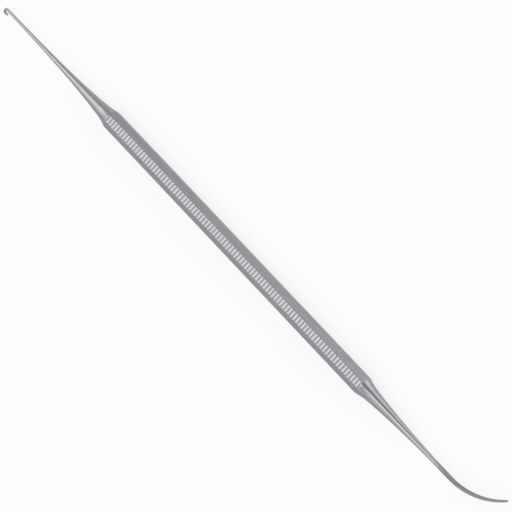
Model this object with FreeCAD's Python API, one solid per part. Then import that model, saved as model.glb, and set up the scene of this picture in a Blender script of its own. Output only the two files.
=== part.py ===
import FreeCAD, Part

import math
import os

from FreeCAD import Rotation, Vector

# Phlebectomy hook: a double-ended hand instrument made from one bar of stainless steel.
# All sizes are in millimetres, and the named angles are in degrees.
# X runs along the handle from the hook end to the dissector end.
# Z points up, out of the serrated flat that is on top when the instrument lies on a table.
# Y points to the side that the dissector curves to, and the hook opens to the other side.
# The origin is the middle of the flat that the handle lies on.

# Handle: a bar of regular octagonal section, each corner broken by a small flat.
across_flats = 4.88
corner_break = 0.17
grip_length = 92.4

# Serration: cross grooves with sloping walls and a narrow floor, on the upper and the lower flat.
groove_pitch = 0.99
groove_width = 0.35
groove_floor = 0.09
groove_depth = 0.16
plain_length = 0.55

# Ogee flares: both ends of the bar are turned down to a round neck.
shoulder_radius = 6.0
flare_radius = 13.0
neck_diameter = 3.76

# Hook shank: a long round taper that fades out towards the hook.
hook_shank_length = 38.20
hook_shank_fade = 13.7
hook_wire = 0.70

# Hook: the wire curls back on itself and thins to a blunt point.
hook_bend_radius = 0.49
hook_sweep = 187.0
hook_leg_wire = 0.60
hook_leg_length = 0.80
hook_point_wire = 0.46

# Dissector shank: a round taper down to the wire that the blade is forged from.
dissector_shank_length = 22.25
dissector_shank_fade = 14.7
dissector_wire = 1.20

# Dissector blade: the wire thins, widens into a section like a lens with blunt edges, and curves sideways.
# The taper's power sets how late the blade thins, and the tip's how blunt its thickness stays.
# Near the tip, the edge radius keeps under a share of the thickness, and that under one of the width.
blade_straight_length = 5.65
blade_curve_radius = 18.0
blade_sweep = 49.6
blade_width = 2.3
blade_widening_length = 13.0
blade_tip_thickness = 0.55
blade_taper_power = 1.85
blade_edge_radius = 0.14
edge_forming_length = 4.5
softest_edge_ratio = 0.45
tip_bluntness_power = 0.25
thickest_tip_ratio = 0.85

# Numbers of sections through which the free forms are drawn.
taper_points = 7
bend_sections = 7
blade_sections = 7
tip_sections = 3

# Angles that place the outlines: how far round the first, round one its broad sides reach, and how far
# round its tip the last one lies.
round_joint = 82.0
tip_turn = 84.0

apothem = across_flats / 2
half_corner = math.radians(22.5)
flat_half = apothem * math.tan(half_corner) - corner_break / 2 / math.cos(half_corner)
bar_radius = math.hypot(apothem, flat_half)
neck_half = neck_diameter / 2
x_axis = Vector(1, 0, 0)
z_axis = Vector(0, 0, 1)


def smooth_step(share):
    """Rises from 0 to 1 with no slope at either end."""
    return share * share * (3 - 2 * share)


def octagonal_bar(reach):
    """The bar, reaching as far each way from the middle."""
    corners = []
    for side in range(8):
        turn = Rotation(x_axis, 45 * side)
        corners.append(turn.multVec(Vector(-reach, flat_half, apothem)))
        corners.append(turn.multVec(Vector(-reach, -flat_half, apothem)))
    return Part.Face(Part.makePolygon(corners + corners[:1])).extrude(Vector(2 * reach, 0, 0))


class TurnedEnd:
    """Outline of one turned end: the ogee flare from the bar to the neck, then the fading taper."""

    def __init__(self, side, length, fade, wire):
        self.side = side
        self.length = length
        self.fade = fade
        self.wire_half = wire / 2
        self.drop = (neck_half - self.wire_half) / (1 - math.exp(-length / fade))
        self.slope = math.atan(self.drop / fade)
        arcs = shoulder_radius + flare_radius
        lift = flare_radius * math.cos(self.slope) + shoulder_radius
        self.steepest = math.acos((lift - (bar_radius - neck_half)) / arcs)
        run = math.sin(self.steepest) - math.sin(self.slope)
        self.neck_x = grip_length / 2 + shoulder_radius * math.sin(self.steepest) + flare_radius * run
        self.end_x = self.neck_x + length

    def point(self, x, radius):
        return Vector(self.side * x, 0, radius)

    def on_shoulder(self, angle):
        x = grip_length / 2 + shoulder_radius * math.sin(angle)
        return self.point(x, bar_radius - shoulder_radius * (1 - math.cos(angle)))

    def on_flare(self, angle):
        x = self.neck_x - flare_radius * (math.sin(angle) - math.sin(self.slope))
        return self.point(x, neck_half + flare_radius * (math.cos(self.slope) - math.cos(angle)))

    def on_taper(self, along):
        radius = neck_half - self.drop * (1 - math.exp(-along / self.fade))
        return self.point(self.neck_x + along, radius)

    def taper(self):
        """The fading taper, level with the ogee where it starts and with its own formula at its end."""
        points = [self.on_taper(self.length * index / taper_points) for index in range(taper_points + 1)]
        end_slope = self.drop / self.fade * math.exp(-self.length / self.fade)
        curve = Part.BSplineCurve()
        curve.interpolate(
            Points=points,
            InitialTangent=self.point(1, -math.tan(self.slope)),
            FinalTangent=self.point(1, -end_slope),
        )
        return curve.toShape()

    def edges(self, outside):
        """From the radius that clears the bar, down the shoulder and out to the wire's end on the axis."""
        shoulder = [self.on_shoulder(self.steepest * share) for share in (0, 0.5, 1)]
        middle = (self.steepest + self.slope) / 2
        flare = [self.on_flare(angle) for angle in (self.steepest, middle, self.slope)]
        return [
            Part.makeLine(self.point(grip_length / 2, outside), shoulder[0]),
            Part.Arc(*shoulder).toShape(),
            Part.Arc(*flare).toShape(),
            self.taper(),
            Part.makeLine(self.on_taper(self.length), self.point(self.end_x, 0)),
        ]


hook_end = TurnedEnd(-1, hook_shank_length, hook_shank_fade, hook_wire)
dissector_end = TurnedEnd(1, dissector_shank_length, dissector_shank_fade, dissector_wire)


def turned_form():
    """The round envelope of bar and shanks, open over the grip so that it leaves the flats alone."""
    outside = bar_radius + corner_break
    edges = hook_end.edges(outside) + dissector_end.edges(outside)
    over_grip = [end.point(grip_length / 2, outside) for end in (hook_end, dissector_end)]
    along_axis = [end.point(end.end_x, 0) for end in (hook_end, dissector_end)]
    edges += [Part.makeLine(*over_grip), Part.makeLine(*along_axis)]
    profile = Part.Face(Part.Wire(Part.__sortEdges__(edges)))
    return profile.revolve(Vector(0, 0, 0), x_axis, 360)


def groove_cutters():
    """One cutter for each groove, on the upper and the lower flat."""
    turned_away = bar_radius - apothem
    flat_end = grip_length / 2 + math.sqrt(shoulder_radius ** 2 - (shoulder_radius - turned_away) ** 2)
    each_way = math.floor((flat_end - plain_length) / groove_pitch + 0.5)
    top_width = 2 * groove_width - groove_floor
    cutters = []
    for index in range(-each_way, each_way):
        middle = (index + 0.5) * groove_pitch
        floor_z = apothem - groove_depth
        top_z = apothem + groove_depth
        corners = [
            Vector(middle - groove_floor / 2, -apothem, floor_z),
            Vector(middle + groove_floor / 2, -apothem, floor_z),
            Vector(middle + top_width / 2, -apothem, top_z),
            Vector(middle - top_width / 2, -apothem, top_z),
        ]
        upper = Part.Face(Part.makePolygon(corners + corners[:1])).extrude(Vector(0, across_flats, 0))
        lower = upper.copy()
        lower.rotate(Vector(0, 0, 0), x_axis, 180)
        cutters += [upper, lower]
    return cutters


def handle_and_shanks():
    """The octagonal bar with both ends turned down and two opposite flats serrated."""
    reach = max(hook_end.end_x, dissector_end.end_x) + across_flats
    return octagonal_bar(reach).common(turned_form()).cut(groove_cutters())


def round_section(centre, tangent, radius):
    """A circle square to the centre line."""
    return Part.Wire(Part.makeCircle(radius, centre, tangent))


def hook():
    """The curled wire: a tight bend that thins, then a short leg that ends in a rounded point."""
    start = Vector(-hook_end.end_x, 0, 0)
    pivot = start - Vector(0, hook_bend_radius, 0)
    whole_turn = Rotation(z_axis, hook_sweep)
    sections = []
    for index in range(bend_sections + 1):
        share = index / bend_sections
        turn = Rotation(z_axis, hook_sweep * share)
        wire = hook_wire + (hook_leg_wire - hook_wire) * share
        sections.append(round_section(pivot + turn.multVec(start - pivot), turn.multVec(-x_axis), wire / 2))
    bend = Part.makeLoft(sections, True, False)
    return [bend, hook_leg(pivot + whole_turn.multVec(start - pivot), whole_turn.multVec(-x_axis))]


def hook_leg(start, way):
    """A slender cone with a round end, turned about the line that the bend leaves on."""
    side = z_axis
    leg_half = hook_leg_wire / 2
    point_half = hook_point_wire / 2
    end = start + way * hook_leg_length
    diagonal = math.sqrt(0.5) * point_half
    rim = end + side * point_half
    nose = Part.Arc(rim, end + way * diagonal + side * diagonal, end + way * point_half).toShape()
    outline = [
        Part.makeLine(start, start + side * leg_half),
        Part.makeLine(start + side * leg_half, rim),
        nose,
        Part.makeLine(end + way * point_half, start),
    ]
    return Part.Face(Part.Wire(outline)).revolve(start, way, 360)


def lens_section(centre, tangent, half_thickness, half_width, joint_y, joint_z):
    """A closed outline of two broad sides and two blunt edges, wide in Z, that meet at four joints."""
    across = Vector(-tangent.y, tangent.x, 0)

    def place(y, z):
        return centre + across * y + z_axis * z

    edges = []
    for sign in (1, -1):
        low, high = place(sign * joint_y, -sign * joint_z), place(sign * joint_y, sign * joint_z)
        beyond = place(-sign * joint_y, sign * joint_z)
        edges.append(Part.Arc(low, place(sign * half_thickness, 0), high).toShape())
        edges.append(Part.Arc(high, place(0, sign * half_width), beyond).toShape())
    return Part.Wire(edges)


def blade_station(along):
    """Centre and direction of the blade, at a distance from the end of its shank."""
    if along <= blade_straight_length:
        return Vector(dissector_end.end_x + along, 0, 0), x_axis
    angle = (along - blade_straight_length) / blade_curve_radius
    x = dissector_end.end_x + blade_straight_length + blade_curve_radius * math.sin(angle)
    y = blade_curve_radius * (1 - math.cos(angle))
    return Vector(x, y, 0), Vector(math.cos(angle), math.sin(angle), 0)


def blade_section(share, along, turn):
    """Outline at a share of the blade's length, narrowed by how far round the tip it lies."""
    widening = smooth_step(min(1.0, along / blade_widening_length))
    width = (dissector_wire + (blade_width - dissector_wire) * widening) * math.cos(turn)
    thinning = (dissector_wire - blade_tip_thickness) * share ** blade_taper_power
    thickness = (dissector_wire - thinning) * math.cos(turn) ** tip_bluntness_power
    if turn > 0:
        thickness = min(thickness, thickest_tip_ratio * width)
    forming = smooth_step(min(1.0, along / edge_forming_length))
    edge_radius = dissector_wire / 2 * (1 - forming) + blade_edge_radius * forming
    if forming == 1:
        edge_radius = min(edge_radius, softest_edge_ratio * thickness)
    over_edge = width / 2 - edge_radius
    over_side = thickness / 2 - edge_radius
    reach = math.atan2(over_edge, (over_edge ** 2 - over_side ** 2) / (2 * over_side))
    joint_y = edge_radius * math.cos(reach)
    joint_z = over_edge + edge_radius * math.sin(reach)
    return lens_section(*blade_station(along), thickness / 2, width / 2, joint_y, joint_z)


def blade():
    """The curved dissector: its body, drawn out of the round wire, and its rounded tip."""
    length = blade_straight_length + blade_curve_radius * math.radians(blade_sweep)
    joint = math.radians(round_joint)
    wire_half = dissector_wire / 2
    first = wire_half, wire_half, wire_half * math.cos(joint), wire_half * math.sin(joint)
    body = [lens_section(*blade_station(0), *first)]
    rounding_start = length - blade_width / 2
    for index in range(1, blade_sections + 1):
        along = rounding_start * index / blade_sections
        body.append(blade_section(along / length, along, 0))
    tip = [body[-1]]
    for index in range(1, tip_sections + 1):
        turn = math.radians(tip_turn) * index / tip_sections
        along = rounding_start + blade_width / 2 * math.sin(turn)
        tip.append(blade_section(along / length, along, turn))
    return [Part.makeLoft(body, True, False), Part.makeLoft(tip, True, False)]


def instrument():
    """The whole instrument as one solid, lying on its lower serrated flat."""
    whole = handle_and_shanks().multiFuse(hook() + blade())
    whole.translate(Vector(0, 0, apothem))
    return whole


os.makedirs("parts", exist_ok=True)
phlebectomy_hook = instrument()
print("solids", len(phlebectomy_hook.Solids), "valid", phlebectomy_hook.isValid())
print("length", round(phlebectomy_hook.BoundBox.XLength, 2), "volume", round(phlebectomy_hook.Volume, 1))
phlebectomy_hook.exportStep("parts/phlebectomy_hook.step")
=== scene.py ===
import math
from collections import namedtuple

import bmesh
import bpy
from mathutils import Matrix, Vector


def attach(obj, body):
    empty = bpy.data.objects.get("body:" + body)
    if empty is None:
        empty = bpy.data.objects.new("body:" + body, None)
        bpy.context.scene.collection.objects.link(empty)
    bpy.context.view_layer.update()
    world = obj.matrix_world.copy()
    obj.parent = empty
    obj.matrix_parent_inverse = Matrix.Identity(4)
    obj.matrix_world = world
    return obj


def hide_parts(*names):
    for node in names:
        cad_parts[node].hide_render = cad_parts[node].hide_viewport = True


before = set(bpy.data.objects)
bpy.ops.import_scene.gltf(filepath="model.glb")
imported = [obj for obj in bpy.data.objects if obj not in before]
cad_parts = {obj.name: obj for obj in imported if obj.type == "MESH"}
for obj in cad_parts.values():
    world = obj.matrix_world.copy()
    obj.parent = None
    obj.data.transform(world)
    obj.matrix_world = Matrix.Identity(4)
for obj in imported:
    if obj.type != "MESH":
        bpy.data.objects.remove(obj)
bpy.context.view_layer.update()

# The instrument is drawn in millimetres, and its vertices are scaled to metres.
mm = 0.001

# Handle: a bar of regular octagonal section, which lies along X.
sides = 8
across_flats = 4.88
corner_radius = 0.41
grip_length = 92.4

# Serration: cross grooves with sloping walls and a narrow floor, on the upper and the lower flat.
groove_pitch = 0.99
grooves_each_way = 48
groove_width = 0.35
groove_floor = 0.09
groove_depth = 0.16
land_edge_radius = 0.02
groove_root_radius = 0.04

# Ogee flares: both ends of the bar are turned down to a round neck.
shoulder_radius = 6.0
flare_radius = 13.0
neck_diameter = 3.76

# Hook shank, a round taper that fades out, and the hook that its wire curls into.
hook_shank_length = 38.20
hook_shank_fade = 13.7
hook_wire = 0.70
hook_bend_radius = 0.49
hook_sweep = math.radians(187)
hook_leg_wire = 0.60
hook_leg_length = 0.80
hook_point_wire = 0.46

# Dissector shank, and the blade that its wire thins, widens and curves into. The taper's power sets how
# late the blade thins, and the tip's how blunt its thickness stays. The edge radius keeps under a share of
# the thickness, and at the tip the thickness keeps under a share of the width.
dissector_shank_length = 22.25
dissector_shank_fade = 14.7
dissector_wire = 1.20
blade_straight_length = 5.65
blade_curve_radius = 18.0
blade_sweep = math.radians(49.6)
blade_width = 2.3
blade_widening_length = 13.0
blade_tip_thickness = 0.55
blade_taper_power = 1.85
blade_edge_radius = 0.14
edge_forming_length = 4.5
softest_edge_ratio = 0.45
tip_bluntness_power = 0.25
thickest_tip_ratio = 0.85
tip_turn = math.radians(89.5)

# What each vertex tells the steel, and how far beyond its shank each end takes on its full darkening: partly
# the forging's own finish, partly painted shade that dims the hook bend's highlight and the blade's
# reflections.
marks = ("turned", "wear_and_sheen", "land", "sunk", "forged_and_shade")
blade_forging_and_shade_fading = 2.5
# At the hook the darkening sets in quickly, as painted shade over the top of the bend.
hook_forging_and_shade_fading = 0.4

# Shading: the angle from which an edge is sharp, how far past its own flat a groove counts as open to the
# side, the slack on its depth there, and how much the broad faces lead the normals.
sharp_angle = math.radians(30)
groove_end_inset = 0.08
groove_depth_slack = 0.001
broad_face_weight = 100

# Vertices closer than the first are one, and edges shorter than the second are dissolved.
weld_distance = 0.0005
sliver_length = 0.0003

# Points round one eighth of the section, and sections along each stretch.
corner_points = 7
side_steps = 7
edge_steps = 5
shoulder_sections = 8
flare_sections = 24
taper_sections = 70
bend_sections = 28
leg_sections = 8
nose_sections = 6
blade_sections = 66
tip_sections = 16

apothem = across_flats / 2
half_corner = math.pi / sides
corner_centre = (apothem - corner_radius) / math.cos(half_corner)
bar_radius = corner_centre + corner_radius
neck_half = neck_diameter / 2
ring_points = sides * corner_points
flat_half = apothem * math.tan(half_corner)
grip_reach = groove_pitch * grooves_each_way

# A section: its distance along the instrument from the handle's middle, its centre, the way it faces
# in the plane of the bends, and its outline as (y, z) points, seen as if the instrument were straight.
Ring = namedtuple("Ring", "along centre way outline")


def smooth_step(share):
    return share * share * (3 - 2 * share)


def corner_outline(reach):
    """Points across one corner, as (outward, sideways), of the bar turned down to a radius."""
    tangent_out = corner_centre + corner_radius * math.cos(half_corner)
    tangent_side = corner_radius * math.sin(half_corner)
    points = []
    if reach >= math.hypot(tangent_out, tangent_side):
        for index in range(corner_points):
            angle = half_corner * (2 * index / (corner_points - 1) - 1)
            outward = corner_centre + corner_radius * math.cos(angle)
            sideways = corner_radius * math.sin(angle)
            shrink = min(1, reach / math.hypot(outward, sideways))
            points.append((outward * shrink, sideways * shrink))
        return points
    widest = half_corner - math.acos(min(1, apothem / reach))
    for index in range(corner_points):
        angle = widest * (2 * index / (corner_points - 1) - 1)
        points.append((reach * math.cos(angle), reach * math.sin(angle)))
    return points


def bar_section(reach):
    """One closed section as (y, z) points, corner by corner, starting beside the upper flat."""
    outline = corner_outline(reach)
    section = []
    for side in range(sides):
        turn = half_corner * (2 * side + 1)
        for outward, sideways in outline:
            y = outward * math.sin(turn) + sideways * math.cos(turn)
            z = outward * math.cos(turn) - sideways * math.sin(turn)
            section.append((y, z))
    return section


def cut_section(section, depth):
    """The section with the upper and the lower flat lowered by a depth."""
    level = apothem - depth
    result = []
    count = len(section)
    for index, (y, z) in enumerate(section):
        if abs(z) <= level:
            result.append((y, z))
            continue
        floor = math.copysign(level, z)
        for step in (-1, 1):
            other_y, other_z = section[(index + step) % count]
            if abs(other_z) <= level:
                y = other_y + (y - other_y) * (floor - other_z) / (z - other_z)
                break
        result.append((y, floor))
    return result


def groove_profile():
    """(offset from the middle, depth) along one groove, with rounded land edges and roots."""
    slope = math.atan2(groove_depth, (groove_width - groove_floor) / 2)
    edge_run = land_edge_radius * math.tan(slope / 2)
    root_run = groove_root_radius * math.tan(slope / 2)
    half = []
    for share in (0, 0.5, 1):
        angle = slope * share
        offset = groove_width / 2 + edge_run - land_edge_radius * math.sin(angle)
        half.append((offset, land_edge_radius * (1 - math.cos(angle))))
    for share in (1, 0.5, 0):
        angle = slope * share
        offset = groove_floor / 2 - root_run + groove_root_radius * math.sin(angle)
        half.append((offset, groove_depth - groove_root_radius * (1 - math.cos(angle))))
    return [(-offset, depth) for offset, depth in half] + half[::-1]


class TurnedEnd:
    """Radius of one turned end by distance from the handle's middle: shoulder, flare and fading taper."""

    def __init__(self, length, fade, wire):
        self.length = length
        self.fade = fade
        self.wire_half = wire / 2
        self.drop = (neck_half - self.wire_half) / (1 - math.exp(-length / fade))
        self.slope = math.atan(self.drop / fade)
        lift = flare_radius * math.cos(self.slope) + shoulder_radius
        self.steepest = math.acos((lift - (bar_radius - neck_half)) / (shoulder_radius + flare_radius))
        self.flare_x = grip_length / 2 + shoulder_radius * math.sin(self.steepest)
        self.neck_x = self.flare_x + flare_radius * (math.sin(self.steepest) - math.sin(self.slope))
        self.end_x = self.neck_x + length

    def radius(self, x):
        if x <= grip_length / 2:
            return bar_radius
        if x <= self.flare_x:
            along = x - grip_length / 2
            return bar_radius - shoulder_radius + math.sqrt(shoulder_radius ** 2 - along ** 2)
        if x <= self.neck_x:
            sine = math.sin(self.slope) + (self.neck_x - x) / flare_radius
            return neck_half + flare_radius * (math.cos(self.slope) - math.sqrt(1 - sine * sine))
        return neck_half - self.drop * (1 - math.exp(-(x - self.neck_x) / self.fade))

    def stations(self):
        """Distances of the sections beyond the last groove, out to the wire's end."""
        corner_height = bar_radius - apothem
        drop = bar_radius - self.radius(grip_reach)
        found = []
        for index in range(1, shoulder_sections + 1):
            fall = corner_height - (corner_height - drop) * (1 - index / shoulder_sections) ** 2
            found.append(grip_length / 2 + math.sqrt(shoulder_radius ** 2 - (shoulder_radius - fall) ** 2))
        start = found[-1]
        for index in range(1, flare_sections + 1):
            found.append(start + (self.neck_x - start) * index / flare_sections)
        for index in range(1, taper_sections + 1):
            found.append(self.neck_x + self.length * index / taper_sections)
        return found


hook_end = TurnedEnd(hook_shank_length, hook_shank_fade, hook_wire)
dissector_end = TurnedEnd(dissector_shank_length, dissector_shank_fade, dissector_wire)


def straight_ring(x, outline):
    return Ring(x, Vector((x, 0, 0)), Vector((1, 0, 0)), outline)


def turned_rings(end, side):
    return [straight_ring(side * x, bar_section(end.radius(x))) for x in end.stations()]


def grip_rings():
    rings = []
    profile = groove_profile()
    for groove in range(-grooves_each_way, grooves_each_way):
        for offset, depth in profile:
            x = (groove + 0.5) * groove_pitch + offset
            end = hook_end if x < 0 else dissector_end
            rings.append(straight_ring(x, cut_section(bar_section(end.radius(abs(x))), depth)))
    return rings


def round_outline(radius):
    """Points of a circle in the same order as a round section of the bar."""
    outline = []
    for side in range(sides):
        for index in range(corner_points):
            angle = half_corner * 2 * (side + index / (corner_points - 1))
            outline.append((radius * math.sin(angle), radius * math.cos(angle)))
    return outline


def hook_rings():
    """The curled wire: a tight bend that thins, a short leg and a round nose."""
    start = Vector((-hook_end.end_x, 0, 0))
    pivot = start - Vector((0, hook_bend_radius, 0))
    bend_length = hook_bend_radius * hook_sweep
    point_half = hook_point_wire / 2
    rings = []
    for index in range(1, bend_sections + 1):
        share = index / bend_sections
        turn = Matrix.Rotation(hook_sweep * share, 3, "Z")
        wire = hook_wire + (hook_leg_wire - hook_wire) * share
        centre = pivot + turn @ (start - pivot)
        way = turn @ Vector((1, 0, 0))
        rings.append(Ring(-hook_end.end_x - bend_length * share, centre, way, round_outline(wire / 2)))
    bend_end = rings[-1]

    def leg_ring(distance, radius):
        return Ring(bend_end.along - distance, bend_end.centre - way * distance, way, round_outline(radius))

    for index in range(1, leg_sections + 1):
        share = index / leg_sections
        wire = hook_leg_wire + (hook_point_wire - hook_leg_wire) * share
        rings.append(leg_ring(hook_leg_length * share, wire / 2))
    for index in range(1, nose_sections + 1):
        angle = math.pi / 2 * index / nose_sections
        rings.append(leg_ring(hook_leg_length + point_half * math.sin(angle), point_half * math.cos(angle)))
    return rings


def quarter_outline(thickness, width, edge_radius, forming):
    """Points from the middle of a broad side to a blunt edge, as (y, z), of a section like a lens.

    They are even round the wire at a forming of 0 and gathered at the blunt edge at 1.
    """
    over_edge = width / 2 - edge_radius
    over_side = thickness / 2 - edge_radius
    side_back = (over_edge ** 2 - over_side ** 2) / (2 * over_side)
    side_radius = thickness / 2 + side_back
    side_turn = math.atan2(over_edge, side_back)
    edge_turn = math.pi / 2 - side_turn
    gathered = [side_turn * index / side_steps for index in range(side_steps)]
    gathered += [side_turn + edge_turn * index / edge_steps for index in range(edge_steps + 1)]
    points = []
    for index, angle in enumerate(gathered):
        even = math.pi / 2 * index / (side_steps + edge_steps)
        angle = even + (angle - even) * forming
        if angle < side_turn:
            points.append((side_radius * math.cos(angle) - side_back, side_radius * math.sin(angle)))
        else:
            points.append((edge_radius * math.cos(angle), over_edge + edge_radius * math.sin(angle)))
    return points


def blade_outline(thickness, width, edge_radius, forming):
    """A closed outline in the same order as a section of the bar, thin in y and wide in z."""
    quarter = quarter_outline(thickness, width, edge_radius, forming)
    loop = quarter[::-1]
    loop += [(y, -z) for y, z in quarter[1:]]
    loop += [(-y, -z) for y, z in quarter[::-1][1:]]
    loop += [(-y, z) for y, z in quarter[1:-1]]
    outline = []
    for side in range(sides):
        for index in range(corner_points):
            outline.append(loop[(side * (corner_points - 1) + index) % len(loop)])
    return outline


def blade_station(along):
    start = dissector_end.end_x
    if along <= blade_straight_length:
        return Vector((start + along, 0, 0)), Vector((1, 0, 0))
    angle = (along - blade_straight_length) / blade_curve_radius
    x = start + blade_straight_length + blade_curve_radius * math.sin(angle)
    y = blade_curve_radius * (1 - math.cos(angle))
    return Vector((x, y, 0)), Vector((math.cos(angle), math.sin(angle), 0))


def blade_rings():
    """The curved dissector: the wire thins, widens and gets blunt edges, and ends in a rounded tip."""
    length = blade_straight_length + blade_curve_radius * blade_sweep
    rounding_start = length - blade_width / 2

    def ring(along, thinning, narrowing):
        centre, way = blade_station(along)
        taper = 1 - (along / length) ** blade_taper_power
        widening = smooth_step(min(1, along / blade_widening_length))
        width = (dissector_wire + (blade_width - dissector_wire) * widening) * narrowing
        thickness = (blade_tip_thickness + (dissector_wire - blade_tip_thickness) * taper) * thinning
        if narrowing < 1:
            thickness = min(thickness, thickest_tip_ratio * width)
        forming = smooth_step(min(1, along / edge_forming_length))
        edge_radius = dissector_wire / 2 + (blade_edge_radius - dissector_wire / 2) * forming
        if forming == 1:
            edge_radius = min(edge_radius, softest_edge_ratio * thickness)
        outline = blade_outline(thickness, width, edge_radius, forming)
        return Ring(dissector_end.end_x + along, centre, way, outline)

    rings = []
    for index in range(1, blade_sections + 1):
        rings.append(ring(rounding_start * index / blade_sections, 1, 1))
    for index in range(1, tip_sections + 1):
        turn = tip_turn * index / tip_sections
        along = rounding_start + blade_width / 2 * math.sin(turn)
        rings.append(ring(along, math.cos(turn) ** tip_bluntness_power, math.cos(turn)))
    return rings


def surface_marks(ring, index):
    """How far a point is turned, carries wear on the grip or painted sheen on a shank, lies on a land, is
    down in a groove, and is darkened at an end by the forging's finish and by painted shade, each 0 to 1.
    """
    y, z = ring.outline[index]
    beyond_blade = (ring.along - dissector_end.end_x) / blade_forging_and_shade_fading
    beyond_hook = (-ring.along - hook_end.end_x) / hook_forging_and_shade_fading
    forged_and_shade = min(1, max(0, beyond_blade, beyond_hook))
    if abs(ring.along) > grip_reach:
        turned = min(1, max(0, (bar_radius - math.hypot(y, z)) / (bar_radius - apothem)))
        end = hook_end if ring.along < 0 else dissector_end
        # On a shank this mark grows towards the thin end: smoother steel, and a painted sheen that lightens
        # the colour there.
        shank_sheen_and_smoothing = min(1, max(0, (abs(ring.along) - end.neck_x) / end.length))
        return turned * (1 - forged_and_shade), shank_sheen_and_smoothing * (1 - forged_and_shade), 0, 0, forged_and_shade
    middle = (corner_points - 1) / 2
    wear_and_sheen = 1 - abs(index % corner_points - middle) / middle
    if abs(y) > flat_half:
        return 0, wear_and_sheen, 0, 0, 0
    level = apothem - abs(z)
    return 0, wear_and_sheen, float(level < land_edge_radius / 2), min(1, level / groove_depth), 0


def ring_vertices(mesh_work, ring):
    """The ring's vertices, with what the steel needs to know of each."""
    layers = mesh_work.verts.layers
    across = Vector((-ring.way.y, ring.way.x, 0))
    row = []
    for index, (y, z) in enumerate(ring.outline):
        vertex = mesh_work.verts.new((ring.centre + across * y + Vector((0, 0, z + apothem))) * mm)
        vertex[layers.float_vector["lay"]] = Vector((ring.along, y, z))
        for name, value in zip(marks, surface_marks(ring, index)):
            vertex[layers.float[name]] = value
        row.append(vertex)
    return row


def keep_edges_sharp(mesh_work):
    """Sharp edges by angle, and where a groove opens on a side flat, which stays shaded as a plane."""
    lay = mesh_work.verts.layers.float_vector["lay"]
    for edge in mesh_work.edges:
        first, second = (vertex[lay] for vertex in edge.verts)
        depth = apothem - min(abs(first.z), abs(second.z))
        side = min(abs(first.y), abs(second.y))
        in_groove = land_edge_radius / 2 < depth <= groove_depth + groove_depth_slack
        opens = in_groove and side > flat_half + groove_end_inset
        runs_along = abs(first.x - second.x) > abs(first.y - second.y) and abs(first.x) < grip_reach
        edge.smooth = edge.calc_face_angle(0) < sharp_angle and not (opens and runs_along)


def build_instrument():
    rings = hook_rings()[::-1]
    rings += turned_rings(hook_end, -1)[::-1]
    rings += grip_rings()
    rings += turned_rings(dissector_end, 1)
    rings += blade_rings()
    mesh_work = bmesh.new()
    mesh_work.verts.layers.float_vector.new("lay")
    for name in marks:
        mesh_work.verts.layers.float.new(name)
    rows = [ring_vertices(mesh_work, ring) for ring in rings]
    for low, high in zip(rows, rows[1:]):
        for index in range(ring_points):
            following = (index + 1) % ring_points
            mesh_work.faces.new((low[index], high[index], high[following], low[following]))
    mesh_work.faces.new(rows[0])
    mesh_work.faces.new(rows[-1][::-1])
    bmesh.ops.remove_doubles(mesh_work, verts=mesh_work.verts, dist=weld_distance * mm)
    bmesh.ops.dissolve_degenerate(mesh_work, edges=mesh_work.edges, dist=sliver_length * mm)
    bmesh.ops.recalc_face_normals(mesh_work, faces=mesh_work.faces)
    for face in mesh_work.faces:
        face.smooth = True
    keep_edges_sharp(mesh_work)
    mesh = bpy.data.meshes.new("instrument")
    mesh_work.to_mesh(mesh)
    mesh_work.free()
    piece = bpy.data.objects.new("instrument", mesh)
    bpy.context.scene.collection.objects.link(piece)
    weighted = piece.modifiers.new("weighted_normals", "WEIGHTED_NORMAL")
    weighted.keep_sharp = True
    weighted.weight = broad_face_weight
    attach(piece, "root")
    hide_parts("phlebectomy_hook")
    return piece


# Camera: a long lens that looks down on the instrument, as in the photograph. Lengths here are in metres.
lean_along = math.radians(17.14)
lean_across = math.radians(11.19)
handle_slope = math.radians(46.547)
camera_distance = 0.67327
aim_right = 0.005285
aim_down = 0.001502
lens_mm = 192.67
sensor_mm = 36
clip_ratio = 100


def camera_axes():
    """Right, up and backward of a camera that sees the handle slope down to the right."""
    back = Vector((math.sin(lean_along), math.cos(lean_along) * math.sin(lean_across),
                   math.cos(lean_along) * math.cos(lean_across)))
    along = (Vector((1, 0, 0)) - back * back.x).normalized()
    across = back.cross(along)
    right = along * math.cos(handle_slope) + across * math.sin(handle_slope)
    up = across * math.cos(handle_slope) - along * math.sin(handle_slope)
    return right, up, back


def add_camera():
    right, up, back = camera_axes()
    data = bpy.data.cameras.new("camera")
    data.lens = lens_mm
    data.sensor_width = sensor_mm
    data.clip_start = camera_distance / clip_ratio
    data.clip_end = camera_distance * clip_ratio
    camera = bpy.data.objects.new("camera", data)
    turn = Matrix((right, up, back)).transposed().to_4x4()
    place = Vector((0, 0, apothem * mm)) + back * camera_distance + right * aim_right - up * aim_down
    camera.matrix_world = Matrix.Translation(place) @ turn
    bpy.context.scene.collection.objects.link(camera)
    bpy.context.scene.camera = camera


def new_material(name):
    material = bpy.data.materials.new(name)
    material.use_nodes = True
    return material, material.node_tree.nodes["Principled BSDF"]


def feed(tree, socket, value):
    """Links a socket to another node's output, or sets it to a constant."""
    if isinstance(value, bpy.types.NodeSocket):
        tree.links.new(value, socket)
    else:
        socket.default_value = value


def math_node(tree, operation, *values):
    node = tree.nodes.new("ShaderNodeMath")
    node.operation = operation
    for socket, value in zip(node.inputs, values):
        feed(tree, socket, value)
    return node.outputs["Value"]


def product(tree, first, second):
    return math_node(tree, "MULTIPLY", first, second)


def stretched(tree, value, low, high):
    """A value that lies between low and high, spread over 0 to 1."""
    node = tree.nodes.new("ShaderNodeMapRange")
    feed(tree, node.inputs["From Min"], low)
    feed(tree, node.inputs["From Max"], high)
    feed(tree, node.inputs["Value"], value)
    return node.outputs["Result"]


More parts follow.
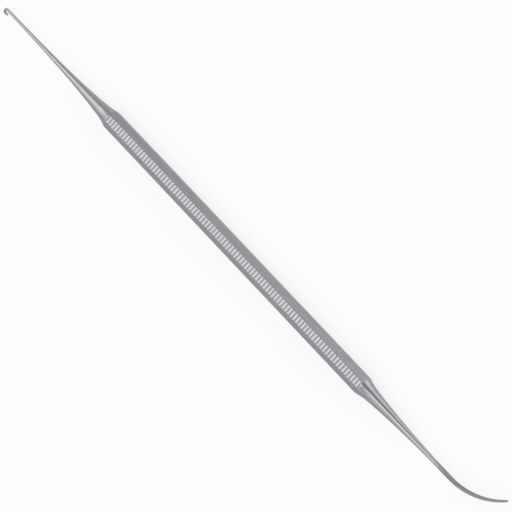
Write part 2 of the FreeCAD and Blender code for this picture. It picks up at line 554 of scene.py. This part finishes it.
def blend(tree, factor, first, second, data_type="FLOAT", blend_type="MIX"):
    """A mix of two values or colours by a factor. A Mix node has sockets of several types for each name."""
    node = tree.nodes.new("ShaderNodeMix")
    node.data_type = data_type
    node.blend_type = blend_type
    socket_type = "VALUE" if data_type == "FLOAT" else data_type

    def socket_of(sockets, name):
        return next(socket for socket in sockets if socket.name == name and socket.type == socket_type)

    feed(tree, node.inputs["Factor"], factor)
    feed(tree, socket_of(node.inputs, "A"), first)
    feed(tree, socket_of(node.inputs, "B"), second)
    return socket_of(node.outputs, "Result")


def blend_colour(tree, factor, first, second, blend_type="MIX"):
    return blend(tree, factor, first, second, "RGBA", blend_type)


# Floor: a ground that glows nearly white and still takes a faint shadow. Its size is in metres.
floor_size = 6
floor_finish = {
    "Base Color": (0.22, 0.22, 0.22, 1),
    "Emission Color": (1, 1, 1, 1),
    "Emission Strength": 0.745,
    "Roughness": 0.9,
    "Specular IOR Level": 0.1,
}


def add_floor():
    material, shader = new_material("floor")
    for name, value in floor_finish.items():
        shader.inputs[name].default_value = value
    bpy.ops.mesh.primitive_plane_add(size=floor_size)
    floor = bpy.context.object
    floor.name = "floor"
    floor.data.materials.append(material)


# Studio dome: radiance by angle about the handle, from the floor on the dissector's side (-90 degrees),
# over the top, to the floor on the hook's side (90 degrees). One profile for the end over the hook,
# one for the middle and one for the end over the dissector, beyond a plain one at the hook's far end.
dome_far_end = ((-90, 0.50), (90, 0.50))
dome_over_hook = ((-90, 0.80), (-65, 0.76), (-50, 0.68), (-38, 0.68), (-27, 1.00), (-14, 1.95), (4, 1.98),
                  (24, 1.75), (42, 1.40), (63, 1.10), (90, 0.38))
dome_middle = ((-90, 1.46), (-65, 1.46), (-50, 1.00), (-38, 0.20), (-24, 0.20), (-14, 1.20), (-2, 2.60),
               (9, 1.96), (24, 1.35), (42, 1.20), (63, 1.10), (90, 0.38))
dome_over_dissector = ((-90, 2.80), (-70, 2.20), (-52, 1.10), (-38, 0.40), (-24, 0.40), (-14, 0.80),
                       (-2, 1.05), (10, 0.85), (25, 0.75), (45, 0.95), (65, 1.10), (90, 0.60))
# Each profile takes over between two reaches along the handle, where -1 is straight past the hook and 1
# straight past the dissector. A ramp covers one whole turn, with straight up in its middle.
dome_profiles = (
    (dome_over_hook, -0.95, -0.72),
    (dome_middle, -0.33, -0.14),
    (dome_over_dissector, -0.14, 0.40),
)
dome_scale = 3
dome_colour = (0.985, 0.99, 1.0, 1)
ramp_middle = 0.5


def dome_ramp(tree, share, stops):
    """Radiance by the share of a whole turn, at a smaller scale, as a ramp's colours end at one."""
    ramp = tree.nodes.new("ShaderNodeValToRGB")
    ramp.color_ramp.interpolation = "EASE"
    elements = ramp.color_ramp.elements
    while len(elements) < len(stops):
        elements.new(ramp_middle)
    for element, (degrees, radiance) in zip(elements, stops):
        level = radiance / dome_scale
        element.position = degrees / 360 + ramp_middle
        element.color = (level, level, level, 1)
    feed(tree, ramp.inputs["Fac"], share)
    return ramp.outputs["Color"]


def add_dome():
    world = bpy.data.worlds.new("world")
    world.use_nodes = True
    tree = world.node_tree
    place = tree.nodes.new("ShaderNodeTexCoord")
    split = tree.nodes.new("ShaderNodeSeparateXYZ")
    feed(tree, split.inputs["Vector"], place.outputs["Generated"])
    angle = math_node(tree, "ARCTAN2", product(tree, split.outputs["Y"], -1), split.outputs["Z"])
    share = math_node(tree, "MULTIPLY_ADD", angle, 1 / math.tau, ramp_middle)
    light = dome_ramp(tree, share, dome_far_end)
    for stops, low, high in dome_profiles:
        reached = stretched(tree, split.outputs["X"], low, high)
        light = blend_colour(tree, reached, light, dome_ramp(tree, share, stops))
    light = blend_colour(tree, 1, light, dome_colour, "MULTIPLY")
    background = tree.nodes["Background"]
    feed(tree, background.inputs["Strength"], dome_scale)
    feed(tree, background.inputs["Color"], light)
    bpy.context.scene.world = world


# Satin steel: fine brushing along the flats and the blade, turning marks round the flares and the shanks,
# faint mottling, corners and lands polished by handling, shanks that get smoother and take a painted sheen
# towards their thin ends, rougher grooves whose colour carries painted light, and ends darkened by the
# forging's finish and by painted shade. The scales are per millimetre, and the relief is in millimetres.
brushed_dull = (0.260, 0.2635, 0.279, 1)
brushed_bright = (0.338, 0.3405, 0.357, 1)
turned_dull = (0.290, 0.294, 0.309, 1)
turned_bright = (0.376, 0.379, 0.392, 1)
# The polished colour is wear on the grip's corners and lands, and a painted sheen on the shanks.
polished_steel_and_sheen = (0.417, 0.418, 0.426, 1)
# The groove colour is lighter than the brushed steel: painted light in the grooves, beside their rougher
# finish.
groove_colour_and_painted_light = (0.345, 0.347, 0.360, 1)
# The tint darkens the ends for the forging's finish, and as painted shade over the hook bend's highlight and
# the blade.
forged_tint_and_painted_shade = (0.85, 0.845, 0.835, 1)
specular_tint = (0.76, 0.76, 0.76, 1)
brushing_scale = (0.09, 5.2, 5.2)
brushing_detail = 4
turning_scale = (9.0, 0.12, 0.12)
turning_detail = 3
mottle_scale = (1.1, 1.1, 1.1)
mottle_detail = 5
mottle_share = 0.42
grain_low = 0.35
grain_high = 0.65
wear_and_sheen_share = 0.35
land_share = 0.50
dull_roughness = 0.36
bright_roughness = 0.25
turning_smooths = 0.045
wear_smooths = 0.08
polish_smooths = 0.06
groove_roughens = 0.10
relief_height = 0.0035
relief_strength = 0.35


def noise(tree, coordinates, scale, detail):
    """Noise stretched by a scale for each axis, as a value of about 0 to 1."""
    mapping = tree.nodes.new("ShaderNodeMapping")
    feed(tree, mapping.inputs["Scale"], scale)
    feed(tree, mapping.inputs["Vector"], coordinates)
    texture = tree.nodes.new("ShaderNodeTexNoise")
    feed(tree, texture.inputs["Scale"], 1)
    feed(tree, texture.inputs["Detail"], detail)
    feed(tree, texture.inputs["Vector"], mapping.outputs["Vector"])
    return texture.outputs["Fac"]


def attribute(tree, name):
    node = tree.nodes.new("ShaderNodeAttribute")
    node.attribute_name = name
    return node


def steel():
    material, shader = new_material("satin_steel")
    tree = material.node_tree
    place = attribute(tree, "lay").outputs["Vector"]
    turned, wear_and_sheen, land, sunk, forged_and_shade = (attribute(tree, name).outputs["Fac"] for name in marks)
    brushing = noise(tree, place, brushing_scale, brushing_detail)
    turning = noise(tree, place, turning_scale, turning_detail)
    mottling = noise(tree, place, mottle_scale, mottle_detail)
    streaks = blend(tree, turned, brushing, turning)
    grain = stretched(tree, blend(tree, mottle_share, streaks, mottling), grain_low, grain_high)
    polish_and_sheen = math_node(tree, "MAXIMUM", product(tree, wear_and_sheen, wear_and_sheen_share), product(tree, land, land_share))

    brushed_colour = blend_colour(tree, grain, brushed_dull, brushed_bright)
    turned_colour = blend_colour(tree, grain, turned_dull, turned_bright)
    colour = blend_colour(tree, turned, brushed_colour, turned_colour)
    # Polished wear on the grip, and painted sheen on the shanks.
    colour = blend_colour(tree, polish_and_sheen, colour, polished_steel_and_sheen)
    # Painted light in the grooves.
    colour = blend_colour(tree, sunk, colour, groove_colour_and_painted_light)
    # The forging's finish and painted shade at the ends.
    colour = blend_colour(tree, forged_and_shade, colour, forged_tint_and_painted_shade, "MULTIPLY")

    finer = math_node(tree, "ADD", product(tree, wear_and_sheen, wear_smooths), turning_smooths)
    roughness = blend(tree, grain, dull_roughness, bright_roughness)
    roughness = math_node(tree, "SUBTRACT", roughness, product(tree, polish_and_sheen, polish_smooths))
    roughness = math_node(tree, "SUBTRACT", roughness, product(tree, turned, finer))
    roughness = math_node(tree, "ADD", roughness, product(tree, sunk, groove_roughens))

    relief = tree.nodes.new("ShaderNodeBump")
    feed(tree, relief.inputs["Strength"], relief_strength)
    feed(tree, relief.inputs["Distance"], relief_height * mm)
    feed(tree, relief.inputs["Height"], streaks)

    feed(tree, shader.inputs["Base Color"], colour)
    feed(tree, shader.inputs["Roughness"], roughness)
    feed(tree, shader.inputs["Normal"], relief.outputs["Normal"])
    shader.inputs["Specular Tint"].default_value = specular_tint
    shader.inputs["Metallic"].default_value = 1
    return material


add_camera()
add_floor()
add_dome()
bpy.context.scene.view_settings.view_transform = "Standard"

instrument = build_instrument()
instrument.data.materials.append(steel())
print("instrument", len(instrument.data.vertices), "vertices", len(instrument.data.polygons), "faces")
